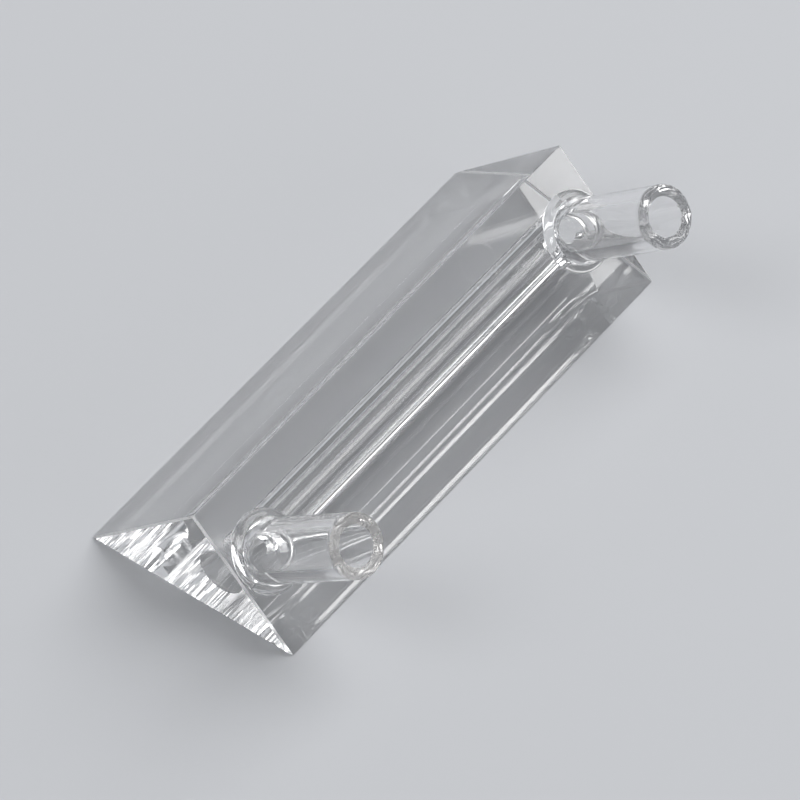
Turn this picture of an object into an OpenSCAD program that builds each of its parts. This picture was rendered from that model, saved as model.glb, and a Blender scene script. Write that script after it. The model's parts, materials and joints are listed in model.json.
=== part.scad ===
// Flow-through prism cuvette: a right-angle prism of fused quartz that rests on its widest face,
// with a closed flow channel along it and two side tubes fused to one sloping face.
// +X runs along the prism, the tubes stand out towards -Y and +Z, and +Z is up.
// The origin is the centre of the face that it rests on, and all sizes are millimetres.

/* [Prism] */
// Width of each of the two sloping faces
leg_w = 12.7; // [10.5:0.1:20]
// Length of the prism
body_len = 45; // [30:0.5:80]
// How far the ground bevel along each edge of an end face reaches in from that edge
edge_bevel = 0.15; // [0.05:0.05:0.5]
// How far the finer bevel along each long edge reaches in from that edge
long_bevel = 0.05; // [0.03:0.01:0.3]

/* [Flow channel] */
// Diameter of the channel
channel_d = 3.9; // [3:0.1:4.8]
// Thinnest wall between the channel and the sloping face that carries the tubes
port_wall = 0.7; // [0.4:0.1:1.5]
// Thinnest wall between the channel and the face that the prism rests on
base_wall = 1.35; // [0.8:0.05:2]

/* [Side tubes] */
// Outer diameter of the tubes
tube_od = 4.8; // [4:0.1:6]
// Inner diameter of the tubes
tube_id = 3; // [1.8:0.1:3.6]
// Length of the inlet tube along its axis, from the prism's face
inlet_len = 10.7; // [6:0.1:20]
// Length of the outlet tube along its axis, from the prism's face
outlet_len = 11.2; // [6:0.1:20]
// Lean of the inlet tube towards the prism's low X end, in degrees
inlet_lean_end = 2.3; // [0:0.1:5]
// Lean of the inlet tube down the slope, in degrees
inlet_lean_down = 4; // [0:0.1:5]
// Lean of the outlet tube towards the prism's low X end, in degrees
outlet_lean_end = 3.8; // [0:0.1:5]
// Lean of the outlet tube down the slope, in degrees
outlet_lean_down = 1; // [0:0.1:5]

/* [Ports] */
// How far the inlet stands down the slope from the channel's axis
inlet_drop = 0.4; // [0:0.05:0.6]
// How far the outlet stands down the slope from the channel's axis
outlet_drop = 0.25; // [0:0.05:0.6]
// Flat left between each weld's foot and the bevel at the prism's end
port_edge_gap = 0.05; // [0.05:0.05:5]
// How much the hole through the prism's wall is smaller than the tube's bore, on each side
port_ledge = 0.3; // [0.1:0.05:0.5]
// Height over which the tube's bore narrows to that hole
neck_rise = 0.6; // [0.3:0.1:1.5]

/* [Weld] */
// How far the weld spreads out round the foot of each tube
weld_spread = 0.75; // [0.4:0.05:0.9]
// Height of the weld up the tube
weld_rise = 1.2; // [0.6:0.1:2]
// Radius of the weld's rounded outer edge
weld_edge = 0.2; // [0.1:0.05:0.3]
// How much thicker the tube's wall is at its foot, from the heat of the weld
upset = 0.25; // [0.15:0.05:0.35]
// Height over which the tube's wall thins back to its own diameter
upset_rise = 1.6; // [1:0.1:3]

/* [Hidden] */
glass = [0.84, 0.91, 0.94];
tube_glass = [0.76, 0.87, 0.92];
slope = 45; // both sloping faces stand at this angle
ridge_h = leg_w * sin(slope); // height of the ridge where they meet
base_w = 2 * leg_w * cos(slope);
channel_r = channel_d / 2;
channel_in = port_wall + channel_r; // depth of the channel's axis under the port face
channel_z = base_wall + channel_r; // height of the channel's axis over the base
// distance of the channel's axis down the slope from the ridge
channel_down = (ridge_h - channel_z) / sin(slope) - channel_in;
tube_r = tube_od / 2;
weld_r = tube_r + weld_spread;
port_x = body_len / 2 - edge_bevel - port_edge_gap - weld_r;
port_hole_d = tube_id - 2 * port_ledge;
channel_len = 2 * port_x + port_hole_d; // the channel ends level with the outer side of each hole
sunk = 1; // the cuts and the tubes' feet start this far past the face that trims them
$fn = 96;

// Puts its children on the port face, with Z along the outward normal, X along the prism
// and the origin a distance x from the middle and a distance down from the ridge
module on_port_face(x, down) {
    translate([x, 0, ridge_h])
        rotate([slope, 0, 0])
            translate([0, -down, 0])
                children();
}

// Point on the side from a to b, one long bevel away from a
function bevelled(a, b) = a + (b - a) * long_bevel / norm(b - a);

// Cross-section of the prism in Y and Z, with each corner cut by the long bevel
module prism_section() {
    corners = [[base_w / 2, 0], [0, ridge_h], [-base_w / 2, 0]];
    polygon([for (i = [0:2], j = [2, 1]) bevelled(corners[i], corners[(i + j) % 3])]);
}

// Solid whose cut bevels the edge between an end face and one side face. The side face stands
// at a distance away from the X axis through the base's centre, with its normal turned by angle.
module end_bevel(angle, away) {
    cut = edge_bevel * sqrt(2);
    rotate([angle, 0, 0])
        translate([body_len / 2, 0, away])
            rotate([0, slope, 0])
                cube([cut, 2 * base_w, cut], center = true);
}

module solid_prism() {
    difference() {
        rotate([90, 0, 90])
            linear_extrude(body_len, center = true)
                prism_section();
        for (end = [0, 1]) mirror([end, 0, 0]) {
            end_bevel(0, 0);
            end_bevel(slope, ridge_h * cos(slope));
            end_bevel(-slope, ridge_h * cos(slope));
        }
    }
}

// Closed channel along the prism, under the port face
module channel() {
    on_port_face(0, channel_down)
        translate([0, 0, -channel_in])
            rotate([0, 90, 0])
                cylinder(h = channel_len, d = channel_d, center = true);
}

module port_hole(x, down) {
    on_port_face(x, down)
        translate([0, 0, -channel_in])
            cylinder(h = channel_in + sunk, d = port_hole_d);
}

module prism_body() {
    color(glass) difference() {
        solid_prism();
        channel();
        port_hole(-port_x, channel_down + inlet_drop);
        port_hole(port_x, channel_down + outlet_drop);
    }
}

// Half of the weld's section: a rounded edge on the face, then a hollow curve up to the tube
module weld_section() {
    flat_r = weld_r - weld_edge; // where the rounded edge ends and the hollow curve starts
    hollow_w = weld_spread - weld_edge;
    hollow_h = weld_rise - weld_edge;
    square([flat_r, weld_edge]);
    intersection() {
        translate([flat_r, 0]) circle(weld_edge);
        square([weld_r, weld_edge]);
    }
    difference() {
        square([flat_r, weld_rise]);
        translate([flat_r, weld_rise])
            scale([hollow_w / hollow_h, 1])
                circle(hollow_h);
    }
}

// Tube of length len, which leans off the face's normal and is trimmed by the face
module side_tube(len, lean_end, lean_down) {
    lean = [lean_down, -lean_end, 0];
    difference() {
        union() {
            rotate_extrude() weld_section();
            rotate(lean) {
                translate([0, 0, -sunk]) cylinder(h = len + sunk, d = tube_od);
                cylinder(h = upset_rise, r1 = tube_r + upset, r2 = tube_r);
            }
        }
        rotate(lean) {
            translate([0, 0, neck_rise]) cylinder(h = len, d = tube_id);
            cylinder(h = neck_rise, d1 = port_hole_d, d2 = tube_id);
            translate([0, 0, -2 * sunk]) cylinder(h = 2 * sunk, d = port_hole_d);
        }
        translate([0, 0, -tube_od])
            cube([2 * tube_od, 2 * tube_od, 2 * tube_od], center = true);
    }
}

module inlet_tube() {
    color(tube_glass) on_port_face(-port_x, channel_down + inlet_drop)
        side_tube(inlet_len, inlet_lean_end, inlet_lean_down);
}

module outlet_tube() {
    color(tube_glass) on_port_face(port_x, channel_down + outlet_drop)
        side_tube(outlet_len, outlet_lean_end, outlet_lean_down);
}

prism_body();
inlet_tube();
outlet_tube();
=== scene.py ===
"""Looks of the flow-through prism cuvette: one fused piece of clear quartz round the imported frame.

The prism, its flow channel and both side tubes are one watertight mesh, because at a fused joint
light meets no surface. Sizes are in millimetres until new_object() turns them into metres.
"""

import json
import math

import bmesh
import bpy
from mathutils import Matrix, Quaternion, Vector, noise


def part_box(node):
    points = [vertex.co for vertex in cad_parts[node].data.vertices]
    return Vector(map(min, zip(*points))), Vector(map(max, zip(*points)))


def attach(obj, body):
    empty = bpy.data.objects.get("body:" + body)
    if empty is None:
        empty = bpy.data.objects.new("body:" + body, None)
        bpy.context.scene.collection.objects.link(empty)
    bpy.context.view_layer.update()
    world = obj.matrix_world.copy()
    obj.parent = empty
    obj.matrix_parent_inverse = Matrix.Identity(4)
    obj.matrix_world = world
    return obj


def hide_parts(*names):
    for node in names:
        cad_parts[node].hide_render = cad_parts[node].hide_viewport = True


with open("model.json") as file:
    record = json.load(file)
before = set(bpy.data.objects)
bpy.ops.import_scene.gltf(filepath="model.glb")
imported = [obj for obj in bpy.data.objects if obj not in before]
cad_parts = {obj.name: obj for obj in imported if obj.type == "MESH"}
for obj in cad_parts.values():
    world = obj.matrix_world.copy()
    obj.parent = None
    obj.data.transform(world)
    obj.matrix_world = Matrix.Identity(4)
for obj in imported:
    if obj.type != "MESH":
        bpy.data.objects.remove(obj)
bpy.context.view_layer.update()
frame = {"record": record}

MM = 0.001  # in metres
MICRON = 1e-6  # in metres
IOR = 1.458  # fused quartz
SLOPE = math.sqrt(0.5)  # sine and cosine of the two sloping faces' 45 degrees

# Sizes that the record doesn't state
EDGE_BEVEL = 0.15  # round the end faces
LONG_BEVEL = 0.05  # along the prism
CHANNEL_R = 1.95
CHANNEL_CORNER = 0.12  # radius of the corners inside the channel's ends
PORT_WALL = 0.7
BASE_WALL = 1.35
PORT_HOLE_R = 1.2
WELD_SPREAD = 0.75
SUNK = 0.4  # how far a tube's foot runs past the face that it stands on

# Heights along a tube
WELD_TOP = 1.8  # up to here its rings are close together
DRAWN_FROM = 1.7  # where the weld's finish gives way to the drawn tube's
RIM_DEPTH = 0.5  # how far below its full length its rim starts
BORE_RIM_DEPTH = 0.45  # the same for the wall of its bore
PAST_RIM = 0.15  # how far the cut for the bore runs past its full length

# How far walls stray from their plain shape
WELD_WAVE = 0.03
BORE_WAVE = 0.05
PORT_CHIP = 0.1  # chips round the port hole
RIM_FALL = 0.05  # mean depth of the rim below its plane
RIM_SAW = 0.012
RIM_LUMP = 0.045
RIM_WEAR = 0.28  # how far the wear reaches in from each of its corners
BORE_FLARE = 0.16  # how much wider the worn bore is at the rim

# Points round a circle
TUBE_POINTS = 288
CHANNEL_POINTS = 384

# What differs between the tubes: the seed of their unevenness, how deep the swirls on the rim are and
# how far its corners are rounded, where round the foot the weld ran full, in degrees, how quickly it
# thins out to either side, and the rim's finish
CHARACTER = {
    "inlet": {
        "seed": 17.0, "swirl": 0.035, "rim_edge": 0.09,
        "fullest": 78, "thinning": 5.0, "rim": "cut_rim",
    },
    "outlet": {
        "seed": 41.0, "swirl": 0.03, "rim_edge": 0.14,
        "fullest": 70, "thinning": 1.8, "rim": "melted_rim",
    },
}

# How far the weld stands out from the tube, by height, where the glass ran full and where it drew hollow
WELD_FULL = [
    (0, 0.75), (0.12, 0.75), (0.30, 0.70), (0.46, 0.60), (0.58, 0.42), (0.66, 0.21), (0.85, 0.10),
    (1.1, 0.04), (1.6, 0),
]
WELD_HOLLOW = [
    (0, 0.75), (0.08, 0.74), (0.20, 0.57), (0.38, 0.35), (0.60, 0.19), (0.85, 0.10), (1.2, 0.04),
    (1.6, 0),
]
# How the bore opens out above the port hole, by height, as a share of the way from hole to bore
NECK = [(-0.7, 0), (-0.06, 0.0), (0.0, 0.08), (0.06, 0.8), (0.14, 0.96), (0.3, 1.0)]


# ---------------------------------------------------------------- where things are


def prism_sizes():
    """Length, half width and ridge height of the prism with its edges still sharp."""
    low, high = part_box("prism_body")
    length = (high.x - low.x) / MM
    half_w = high.y / MM + LONG_BEVEL * SLOPE
    ridge = half_w  # because both faces slope at 45 degrees
    return length, half_w, ridge


LENGTH, HALF_W, RIDGE = prism_sizes()
CHANNEL_IN = PORT_WALL + CHANNEL_R  # depth of the channel's axis under the port face
CHANNEL_Z = BASE_WALL + CHANNEL_R
CHANNEL_DOWN = (RIDGE - CHANNEL_Z) / SLOPE - CHANNEL_IN  # its distance down the slope from the ridge

# Axes on the port face: along the prism, up the slope and outwards
FACE_X = Vector((1, 0, 0))
FACE_Y = Vector((0, SLOPE, SLOPE))
FACE_Z = Vector((0, -SLOPE, SLOPE))


def axes_at(origin, x, y, z):
    """Matrix whose columns are the given axes and origin."""
    matrix = Matrix((x, y, z)).transposed().to_4x4()
    matrix.translation = origin
    return matrix


class Tube:
    """One side tube, as the record's mounts give it."""

    def __init__(self, name):
        mounts = {m["name"]: m for m in frame["record"]["mounts"]}
        stub, bore = mounts[name + "_stub"], mounts[name + "_bore"]
        self.name = name
        self.axis = Vector(stub["axis"]).normalized()
        self.r_out = stub["dims"]["r_mm"]
        self.r_in = bore["dims"]["r_mm"]
        tip = Vector(stub["pos_m"]) / MM + self.axis * stub["dims"]["length_mm"] / 2
        rise = (tip - Vector((0, 0, RIDGE))).dot(FACE_Z)
        self.length = rise / self.axis.dot(FACE_Z)
        foot = tip - self.axis * self.length
        x = (FACE_X - self.axis * FACE_X.dot(self.axis)).normalized()
        self.leaning = axes_at(foot, x, self.axis.cross(x), self.axis)
        self.upright = axes_at(foot, FACE_X, FACE_Y, FACE_Z)
        character = CHARACTER[name]
        self.seed = character["seed"]
        self.swirl, self.rim_edge = character["swirl"], character["rim_edge"]
        self.fullest, self.thinning = math.radians(character["fullest"]), character["thinning"]
        self.rim = character["rim"]


TUBES = [Tube("inlet"), Tube("outlet")]


# ---------------------------------------------------------------- curves


def smooth(t):
    """Eases from 0 to 1."""
    t = min(1.0, max(0.0, t))
    return t * t * (3 - 2 * t)


def through(points, x):
    """Value at x of a curve through the points, which never swings past them."""
    if x <= points[0][0]:
        return points[0][1]
    if x >= points[-1][0]:
        return points[-1][1]
    steps = [(q[1] - p[1]) / (q[0] - p[0]) for p, q in zip(points, points[1:])]
    turns = [steps[0]]
    turns += [2 * a * b / (a + b) if a * b > 0 else 0.0 for a, b in zip(steps, steps[1:])]
    turns += [0.0]
    i = max(k for k in range(len(points) - 1) if points[k][0] <= x)
    (x0, y0), (x1, y1) = points[i], points[i + 1]
    w = x1 - x0
    t = (x - x0) / w
    ends = (2 * t**3 - 3 * t**2 + 1) * y0 + (3 * t**2 - 2 * t**3) * y1
    return ends + (t**3 - 2 * t**2 + t) * w * turns[i] + (t**3 - t**2) * w * turns[i + 1]


def between(start, end, steps, first=0):
    """Evenly spaced values, from step number first to end."""
    return [start + (end - start) * k / steps for k in range(first, steps + 1)]


def circle(points=TUBE_POINTS):
    """Angles of points round a circle."""
    return [2 * math.pi * k / points for k in range(points)]


def wave(seed, a, r, z, scale):
    """Smooth repeatable unevenness, about -1 to 1, on a round wall."""
    p = Vector((r * math.cos(a), r * math.sin(a), z))
    return noise.noise(p * scale + Vector((seed, 2 * seed, 3 * seed)))


# ---------------------------------------------------------------- meshes


def new_object(name, verts, faces):
    """Object from points in millimetres, with its normals pointing out."""
    mesh = bpy.data.meshes.new(name)
    mesh.from_pydata([Vector(v) * MM for v in verts], [], faces)
    bm = bmesh.new()
    bm.from_mesh(mesh)
    bmesh.ops.recalc_face_normals(bm, faces=bm.faces)
    bm.to_mesh(mesh)
    bm.free()
    obj = bpy.data.objects.new(name, mesh)
    bpy.context.scene.collection.objects.link(obj)
    return obj


def skin(name, rings, bottom, top):
    """Closed skin over rings of points, capped by a point at each end."""
    n = len(rings[0])
    verts = [bottom] + [p for ring in rings for p in ring] + [top]
    faces = []
    for k in range(n):
        after = (k + 1) % n
        faces.append((0, 1 + after, 1 + k))
        for i in range(len(rings) - 1):
            a, b = 1 + i * n, 1 + (i + 1) * n
            faces.append((a + k, a + after, b + after, b + k))
        last = 1 + (len(rings) - 1) * n
        faces.append((last + k, last + after, len(verts) - 1))
    return new_object(name, verts, faces)


def apply_modifiers(obj):
    """Turns the object's modifiers into its mesh."""
    depsgraph = bpy.context.evaluated_depsgraph_get()
    mesh = bpy.data.meshes.new_from_object(obj.evaluated_get(depsgraph))
    obj.modifiers.clear()
    obj.data = mesh


def combine(target, other, operation):
    """Joins other to target, or cuts it out, and removes it."""
    modifier = target.modifiers.new("solid", "BOOLEAN")
    modifier.object = other
    modifier.operation = operation
    modifier.solver = "MANIFOLD"
    apply_modifiers(target)
    bpy.data.objects.remove(other)


def drop_needless_points(obj):
    """Joins points within a micron of each other and drops those that only divide an edge.

    The cuts leave both kinds where surfaces cross, and they would give the mesh slivers.
    """
    bm = bmesh.new()
    bm.from_mesh(obj.data)
    bmesh.ops.remove_doubles(bm, verts=bm.verts, dist=MICRON)
    bmesh.ops.dissolve_degenerate(bm, edges=bm.edges, dist=MICRON)
    bmesh.ops.dissolve_verts(bm, verts=[v for v in bm.verts if len(v.link_edges) == 2])
    bm.to_mesh(obj.data)
    bm.free()


# ---------------------------------------------------------------- the prism and its channel


def solid_prism():
    """The right-angle prism, with a bevel ground round its end faces and a finer one along it."""
    corners = [(HALF_W, 0), (0, RIDGE), (-HALF_W, 0)]
    verts = [(x, y, z) for x in (-LENGTH / 2, LENGTH / 2) for y, z in corners]
    sides = [(0, 2, 1), (3, 4, 5), (0, 1, 4, 3), (1, 2, 5, 4), (2, 0, 3, 5)]
    obj = new_object("cuvette", verts, sides)
    mesh = obj.data
    weights = mesh.attributes.new("bevel_weight_edge", "FLOAT", "EDGE")
    for edge in mesh.edges:
        first, last = (mesh.vertices[v].co.x for v in edge.vertices)
        weights.data[edge.index].value = 1.0 if first == last else LONG_BEVEL / EDGE_BEVEL
    modifier = obj.modifiers.new("bevel", "BEVEL")
    modifier.offset_type = "OFFSET"
    modifier.limit_method = "WEIGHT"
    modifier.width = EDGE_BEVEL * MM
    modifier.segments = 1
    apply_modifiers(obj)
    return obj


def channel():
    """The closed flow channel along the prism, with its end corners slightly rounded."""
    reach = max(abs(t.upright.translation.x) for t in TUBES) + PORT_HOLE_R
    profile = []
    for turn in between(0, math.pi / 2, 5):
        x = -reach + CHANNEL_CORNER * (1 - math.cos(turn))
        profile.append((x, CHANNEL_R - CHANNEL_CORNER * (1 - math.sin(turn))))
    profile += [(-x, r) for x, r in reversed(profile)]
    top_of_slope = Vector((0, 0, RIDGE)) - FACE_Y * CHANNEL_DOWN
    axis = axes_at(top_of_slope, FACE_X, FACE_Y, FACE_Z) @ Matrix.Translation((0, 0, -CHANNEL_IN))
    rings = []
    for x, r in profile:
        rings.append([axis @ Vector((x, r * math.cos(a), r * math.sin(a))) for a in circle(CHANNEL_POINTS)])
    return skin("channel", rings, axis @ Vector((-reach, 0, 0)), axis @ Vector((reach, 0, 0)))


# ---------------------------------------------------------------- the tubes and their bores


def ring_at(tube, z, radius, turn):
    """Ring at height z, between the port face's frame at turn 0 and the leaning tube's at turn 1."""
    ring = []
    for a in circle():
        r = radius(a)
        p = Vector((r * math.cos(a), r * math.sin(a), z))
        ring.append((tube.upright @ p).lerp(tube.leaning @ p, turn))
    return ring


def outer_ring(tube, z):
    """Ring at height z on the outside of the weld and the tube, slightly uneven over the weld."""
    unrest = smooth(z / 0.25) * (1 - smooth((z - 1.0) / 1.5))  # full from 0.25 to 1 mm up

    def radius(a):
        full = (0.5 + 0.5 * math.cos(a - tube.fullest)) ** tube.thinning
        out = through(WELD_FULL, z) * full + through(WELD_HOLLOW, z) * (1 - full)
        uneven = WELD_WAVE * unrest * wave(tube.seed, a, 2.0, 0.8 * z, 0.7)
        return tube.r_out + out + uneven - 0.01 * unrest

    return ring_at(tube, z, radius, smooth((z - 0.2) / 1.4))


def rim_depth(tube, a, r):
    """How far the rim lies below its plane there: saw marks, melted swirls and worn, chipped corners."""
    x, y = r * math.cos(a), r * math.sin(a)
    saw = noise.noise(Vector((0.7 * x + tube.seed, 4.5 * y + 1.5 * x, 0)))
    bend = 1.2 * wave(tube.seed + 5, a, r, 0, 0.8)
    strength = 0.6 + 0.4 * wave(tube.seed + 6, a, r, 0, 1.1)
    swirl = math.sin(2 * math.pi * (2.8 * r + bend) + 2 * a) * strength
    lump = wave(tube.seed + 9, a, r, 0, 1.3)
    chip = max(0.0, wave(tube.seed + 13, a, tube.r_out, 0, 2.6) - 0.2)
    nick = max(0.0, wave(tube.seed + 15, a, tube.r_in, 0, 3.4) - 0.15)
    outer = smooth((r - tube.r_out + RIM_WEAR) / RIM_WEAR) * (0.4 * tube.rim_edge + 0.3 * chip)
    inner = smooth((tube.r_in + RIM_WEAR - r) / RIM_WEAR) * (0.6 * tube.rim_edge + 0.35 * nick)
    return RIM_FALL + RIM_SAW * saw + tube.swirl * swirl + RIM_LUMP * lump + outer + inner


def rim_ring(tube, r, drop):
    """Ring of radius r on the rim, that far below it."""
    ring = []
    for a in circle():
        z = tube.length - drop - rim_depth(tube, a, r)
        ring.append(tube.leaning @ Vector((r * math.cos(a), r * math.sin(a), z)))
    return ring


def rim_rings(tube):
    """Rings from the tube's outer edge across the rim to a little inside the bore."""
    edge = tube.rim_edge
    rings = []
    for turn in between(0, math.pi / 2, 6, first=1):
        r = tube.r_out - edge * (1 - math.cos(turn))
        rings.append(rim_ring(tube, r, edge * (1 - math.sin(turn))))
    for r in between(tube.r_out - edge, tube.r_in - 0.25, 32, first=1):
        rings.append(rim_ring(tube, r, 0.0))
    return rings


def solid_stub(tube):
    """The tube and its weld as a solid, before the bore is cut."""
    heights = [-SUNK, 0.0]
    heights += [WELD_TOP * t**1.25 for t in between(0, 1, 36, first=1)]
    heights += between(WELD_TOP, tube.length - RIM_DEPTH, 10, first=1)
    rings = [outer_ring(tube, z) for z in heights] + rim_rings(tube)
    bottom = tube.upright @ Vector((0, 0, -SUNK))
    top = tube.leaning @ Vector((0, 0, tube.length - 0.2))
    return skin(tube.name + "_stub", rings, bottom, top)


def bore_ring(tube, z):
    """Ring on the wall of the bore, uneven where the flame melted it and chipped where the hole was cut."""
    plain = PORT_HOLE_R + (tube.r_in - PORT_HOLE_R) * through(NECK, z)
    melt = smooth((z + 0.6) / 0.5) * (1 - smooth((z - 0.6) / 1.2))  # full from -0.1 to 0.6 mm up
    cut = smooth((z + 0.6) / 0.3) * (1 - smooth((z + 0.2) / 0.3))  # full from -0.3 to -0.2 mm up

    def radius(a):
        chip = max(0.0, wave(tube.seed + 7, a, 1.6, 0.5 * z, 1.7) - 0.1)
        uneven = BORE_WAVE * melt * wave(tube.seed + 3, a, 1.6, 0.9 * z, 0.9)
        return plain + uneven + PORT_CHIP * cut * chip

    return ring_at(tube, z, radius, smooth((z + 0.2) / 1.2))


def flared_ring(tube, z):
    """Ring on the wall of the bore by the rim, where its corner is worn wider."""
    ring = []
    for a in circle():
        worn = 0.5 + 0.5 * wave(tube.seed + 21, a, tube.r_in, 0, 2.4)
        r = tube.r_in + BORE_FLARE * (0.4 + 0.6 * worn) * smooth((z - tube.length + 0.3) / 0.35) ** 2
        ring.append(tube.leaning @ Vector((r * math.cos(a), r * math.sin(a), z)))
    return ring


def solid_bore(tube):
    """What is cut out for a bore: from inside the channel, through the hole and neck, past the rim."""
    neck_low, neck_top, plain_top = NECK[0][0], NECK[-1][0], tube.length - BORE_RIM_DEPTH
    heights = between(-CHANNEL_IN, neck_low, 7)
    heights += between(neck_low, neck_top, 44, first=1)
    heights += between(neck_top, plain_top, 8, first=1)
    rings = [bore_ring(tube, z) for z in heights]
    rings += [flared_ring(tube, z) for z in between(plain_top, tube.length + PAST_RIM, 12, first=1)]
    bottom = tube.upright @ Vector((0, 0, -CHANNEL_IN))
    top = tube.leaning @ Vector((0, 0, tube.length + PAST_RIM))
    return skin(tube.name + "_bore", rings, bottom, top)


# ---------------------------------------------------------------- materials


def glass(name, roughness, grain, bump, transmission=1.0, color=(1, 1, 1, 1)):
    """Quartz with its own finish, whose roughness runs from the first to the second number over a noise.

    grain is the noise's scale per millimetre and its detail, and bump its height in metres.
    """
    material = bpy.data.materials.new(name)
    material.use_nodes = True
    nodes, links = material.node_tree.nodes, material.node_tree.links
    shader = nodes["Principled BSDF"]
    shader.inputs["Base Color"].default_value = color
    shader.inputs["Transmission Weight"].default_value = transmission
    shader.inputs["IOR"].default_value = IOR

    where = nodes.new("ShaderNodeAttribute")
    where.attribute_name = "grain"
    texture = nodes.new("ShaderNodeTexNoise")
    texture.inputs["Scale"].default_value = grain[0]
    texture.inputs["Detail"].default_value = grain[1]
    texture.inputs["Roughness"].default_value = 0.6
    links.new(where.outputs["Vector"], texture.inputs["Vector"])

    spread = nodes.new("ShaderNodeMapRange")
    spread.inputs["From Min"].default_value = 0.35
    spread.inputs["From Max"].default_value = 0.7
    spread.inputs["To Min"].default_value = roughness[0]
    spread.inputs["To Max"].default_value = roughness[1]
    links.new(texture.outputs["Fac"], spread.inputs["Value"])
    links.new(spread.outputs["Result"], shader.inputs["Roughness"])

    relief = nodes.new("ShaderNodeBump")
    relief.inputs["Strength"].default_value = 1.0
    relief.inputs["Distance"].default_value = bump
    links.new(texture.outputs["Fac"], relief.inputs["Height"])
    links.new(relief.outputs["Normal"], shader.inputs["Normal"])
    return material


def make_materials():
    """One finish for each kind of surface, in the order of the mesh's material slots."""
    return {
        "polished": glass("polished_quartz", (0.0, 0.012), (0.35, 3), 2e-7),
        "end_face": glass("fine_polished_end", (0.03, 0.06), (0.35, 3), 1e-7),
        "end_edge": glass("ground_end_edge", (0.25, 0.5), (14, 2), 3e-6, 0.55),
        "long_edge": glass("fine_long_edge", (0.12, 0.3), (14, 2), 1e-6),
        "drawn": glass("drawn_tube", (0.0, 0.02), (4.5, 4), 1.6e-6),
        "weld": glass("flame_weld", (0.0, 0.015), (1.6, 2), 3e-6),
        "cut_rim": glass("cut_rim", (0.02, 0.3), (1.5, 2), 2e-5, 0.88, (1, 0.97, 0.93, 1)),
        "melted_rim": glass("melted_rim", (0.0, 0.06), (2.5, 2), 4e-6),
        "channel": glass("channel_wall", (0.0, 0.02), (2, 1), 3e-7),
    }


# ---------------------------------------------------------------- which finish goes where


# The prism's flat faces: outward normal, distance from the origin and finish
FACES = [
    (Vector((0, SLOPE, SLOPE)), RIDGE * SLOPE, "polished"),
    (Vector((0, -SLOPE, SLOPE)), RIDGE * SLOPE, "polished"),
    (Vector((0, 0, -1)), 0.0, "polished"),
    (Vector((1, 0, 0)), LENGTH / 2, "end_face"),
    (Vector((-1, 0, 0)), LENGTH / 2, "end_face"),
]


def flat_face(polygon):
    """Which of FACES the polygon lies in, or None."""
    center = polygon.center / MM
    for i, (normal, away, _) in enumerate(FACES):
        if normal.dot(polygon.normal) > 0.9999 and abs(normal.dot(center) - away) < 0.002:
            return i
    return None


def near_tube(point):
    """The tube that a point belongs to and the point in that tube's own frame, or None twice."""
    for tube in TUBES:
        local = tube.leaning.inverted() @ point
        if local.z > -0.75 and math.hypot(local.x, local.y) < tube.r_out + WELD_SPREAD + 0.1:
            return tube, local
    return None, None


def finish_of(polygon, flat):
    """Which finish a polygon has, by where it lies."""
    if flat is not None:
        return FACES[flat][2]
    center = polygon.center / MM
    tube, local = near_tube(center)
    if tube:
        if local.z > tube.length - RIM_DEPTH and polygon.normal.dot(tube.axis) > 0.35:
            return tube.rim
        return "weld" if local.z < DRAWN_FROM else "drawn"
    outside = max(normal.dot(center) - away for normal, away, _ in FACES)
    if outside < -EDGE_BEVEL:
        return "channel"
    return "end_edge" if abs(center.x) > LENGTH / 2 - EDGE_BEVEL else "long_edge"


def grain_at(point, kind):
    """Coordinates for a finish's noise, in millimetres, squeezed along the way that its marks run."""
    if kind == "channel":
        return (0.01 * point.x, point.y, point.z)
    tube, local = near_tube(point)
    if tube and kind == tube.rim:
        return (0.35 * local.x + tube.seed, local.y, local.z)
    if tube and kind in ("drawn", "weld"):
        along = 0.03 if kind == "drawn" else 0.6
        return (local.x + tube.seed, local.y, along * local.z)
    return tuple(point)


def mark_sharp_edges(mesh, flats):
    """Keeps an edge sharp where it bends by more than a weld does, or where a flat face ends."""
    mesh.set_sharp_from_angle(angle=math.radians(28))
    sides = {}
    for polygon in mesh.polygons:
        for key in polygon.edge_keys:
            sides.setdefault(key, []).append(flats[polygon.index])
    sharp = mesh.attributes.get("sharp_edge") or mesh.attributes.new("sharp_edge", "BOOLEAN", "EDGE")
    for edge in mesh.edges:
        if len(set(sides[tuple(sorted(edge.vertices))])) == 2:
            sharp.data[edge.index].value = True


def finish_shading(obj):
    """Gives each polygon its finish and shades the round walls smooth."""
    materials = make_materials()
    names = list(materials)
    mesh = obj.data
    mesh.materials.clear()
    for material in materials.values():
        mesh.materials.append(material)
    flats = [flat_face(polygon) for polygon in mesh.polygons]
    grain = mesh.attributes.new("grain", "FLOAT_VECTOR", "CORNER")
    for polygon, flat in zip(mesh.polygons, flats):
        kind = finish_of(polygon, flat)
        polygon.material_index = names.index(kind)
        polygon.use_smooth = True
        for loop in polygon.loop_indices:
            point = mesh.vertices[mesh.loops[loop].vertex_index].co / MM
            grain.data[loop].vector = grain_at(point, kind)
    mark_sharp_edges(mesh, flats)


# ---------------------------------------------------------------- put together


def build():
    """The prism with both tubes fused to it and the flow path cut through all three."""
    body = solid_prism()
    for tube in TUBES:
        combine(body, solid_stub(tube), "UNION")
    flow_path = channel()
    for tube in TUBES:
        combine(flow_path, solid_bore(tube), "UNION")
    combine(body, flow_path, "DIFFERENCE")
    drop_needless_points(body)
    finish_shading(body)
    return body


cuvette = build()
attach(cuvette, "root")
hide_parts("prism_body", "inlet_tube", "outlet_tube")


# ---------------------------------------------------------------- stage, light, camera, in metres


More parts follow.
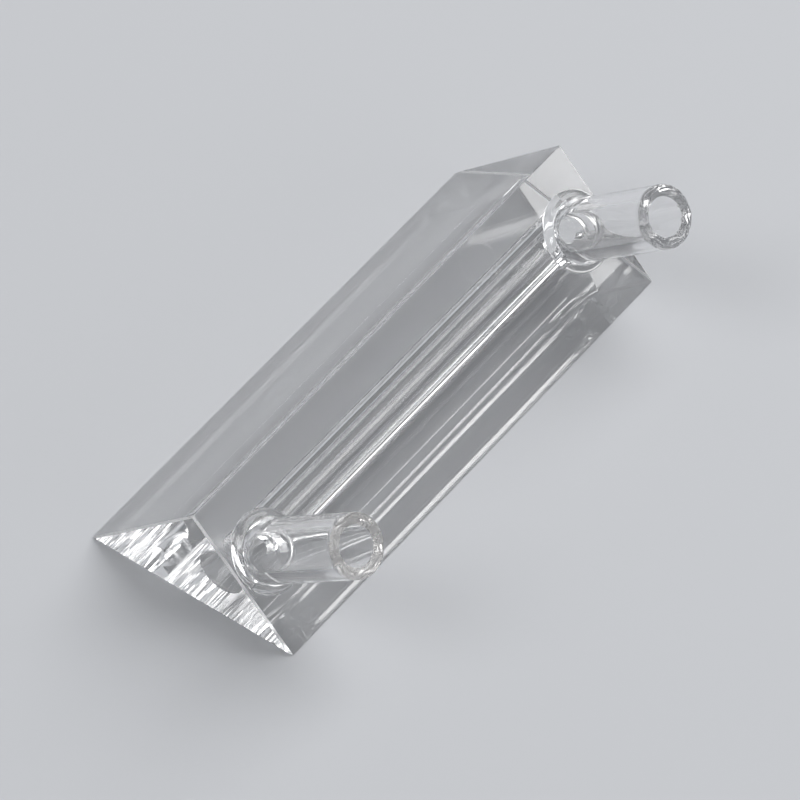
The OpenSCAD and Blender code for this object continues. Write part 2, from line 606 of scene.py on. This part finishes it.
def stage_floor():
    """A pale floor that curves up into a low wall all round, a hair below the part."""
    flat_r = 1.2
    curve_r = 0.5
    under = 5e-5
    points = 96
    turns = between(0, math.pi / 2, 23)
    verts = [(0, 0, -under)]
    for turn in turns:
        r = flat_r + curve_r * math.sin(turn)
        z = curve_r * (1 - math.cos(turn))
        verts += [(r * math.cos(a), r * math.sin(a), z - under) for a in circle(points)]
    faces = []
    for k in range(points):
        after = (k + 1) % points
        faces.append((0, 1 + k, 1 + after))
        for i in range(len(turns) - 1):
            a, b = 1 + i * points, 1 + (i + 1) * points
            faces.append((a + k, b + k, b + after, a + after))
    mesh = bpy.data.meshes.new("floor")
    mesh.from_pydata(verts, [], faces)
    for polygon in mesh.polygons:
        polygon.use_smooth = True
    obj = bpy.data.objects.new("floor", mesh)
    bpy.context.scene.collection.objects.link(obj)
    material = bpy.data.materials.new("floor")
    material.use_nodes = True
    shader = material.node_tree.nodes["Principled BSDF"]
    shader.inputs["Base Color"].default_value = (0.56, 0.57, 0.59, 1)
    shader.inputs["Roughness"].default_value = 0.9
    shader.inputs["Specular IOR Level"].default_value = 0.1
    mesh.materials.append(material)


def fade_to_edges(data):
    """Makes an area lamp fade over the outer quarter of its width and height."""
    data.use_nodes = True
    nodes, links = data.node_tree.nodes, data.node_tree.links
    geometry = nodes.new("ShaderNodeNewGeometry")
    middle = nodes.new("ShaderNodeVectorMath")
    middle.operation = "SUBTRACT"
    middle.inputs[1].default_value = (0.5, 0.5, 0.0)
    links.new(geometry.outputs["Parametric"], middle.inputs[0])
    size = nodes.new("ShaderNodeVectorMath")
    size.operation = "ABSOLUTE"
    links.new(middle.outputs["Vector"], size.inputs[0])
    split = nodes.new("ShaderNodeSeparateXYZ")
    links.new(size.outputs["Vector"], split.inputs["Vector"])
    both = nodes.new("ShaderNodeMath")
    both.operation = "MULTIPLY"
    for i, axis in enumerate(("X", "Y")):
        fade = nodes.new("ShaderNodeMapRange")
        fade.interpolation_type = "SMOOTHSTEP"
        fade.inputs["From Min"].default_value = 0.5
        fade.inputs["From Max"].default_value = 0.25
        links.new(split.outputs[axis], fade.inputs["Value"])
        links.new(fade.outputs["Result"], both.inputs[i])
    links.new(both.outputs["Value"], nodes["Emission"].inputs["Strength"])


def point_at(obj, place, target=(0, 0, 0)):
    """Puts a lamp or camera there and points it at the target."""
    obj.location = place
    obj.rotation_mode = "QUATERNION"
    obj.rotation_quaternion = (Vector(place) - Vector(target)).to_track_quat("Z", "Y")


def soft_box(name, place, size_x, size_y, radiance):
    """Soft box of that radiance at its middle, aimed at the part and unseen by the camera."""
    data = bpy.data.lights.new(name, "AREA")
    data.shape = "RECTANGLE"
    data.size, data.size_y = size_x, size_y
    data.energy = radiance * math.pi * size_x * size_y
    fade_to_edges(data)
    obj = bpy.data.objects.new(name, data)
    bpy.context.scene.collection.objects.link(obj)
    point_at(obj, place)
    obj.visible_camera = False


def light():
    """Three soft boxes, of which left_box is what the far end face mirrors, and a grey room."""
    soft_box("top_box", (0.64, -0.22, 0.87), 1.0, 1.5, 4.6)
    soft_box("left_box", (-0.62, 0.39, 0.80), 0.75, 0.75, 2.4)
    soft_box("side_box", (0.1, -1.0, 0.35), 1.2, 0.5, 0.9)
    world = bpy.data.worlds.new("room")
    bpy.context.scene.world = world
    world.use_nodes = True
    back = world.node_tree.nodes["Background"]
    back.inputs["Color"].default_value = (0.22, 0.225, 0.235, 1)
    back.inputs["Strength"].default_value = 1.0


def camera():
    """The photograph's viewpoint, from above the near end and the port face."""
    data = bpy.data.cameras.new("camera")
    data.sensor_width = 36
    data.lens = 322.356
    data.clip_start, data.clip_end = 0.02, 20
    obj = bpy.data.objects.new("camera", data)
    bpy.context.scene.collection.objects.link(obj)
    point_at(obj, (-0.28195, -0.1908, 0.3969), (-0.0016166, -0.0030484, 0.004445))
    obj.rotation_quaternion = obj.rotation_quaternion @ Quaternion((0, 0, 1), math.radians(2.887))
    bpy.context.scene.camera = obj


def render_settings():
    """Plain colours, and enough bounces for light that the prism turns back many times."""
    scene = bpy.context.scene
    scene.view_settings.view_transform = "Standard"
    scene.cycles.max_bounces = 32
    scene.cycles.glossy_bounces = 32
    scene.cycles.transmission_bounces = 32


stage_floor()
light()
camera()
render_settings()
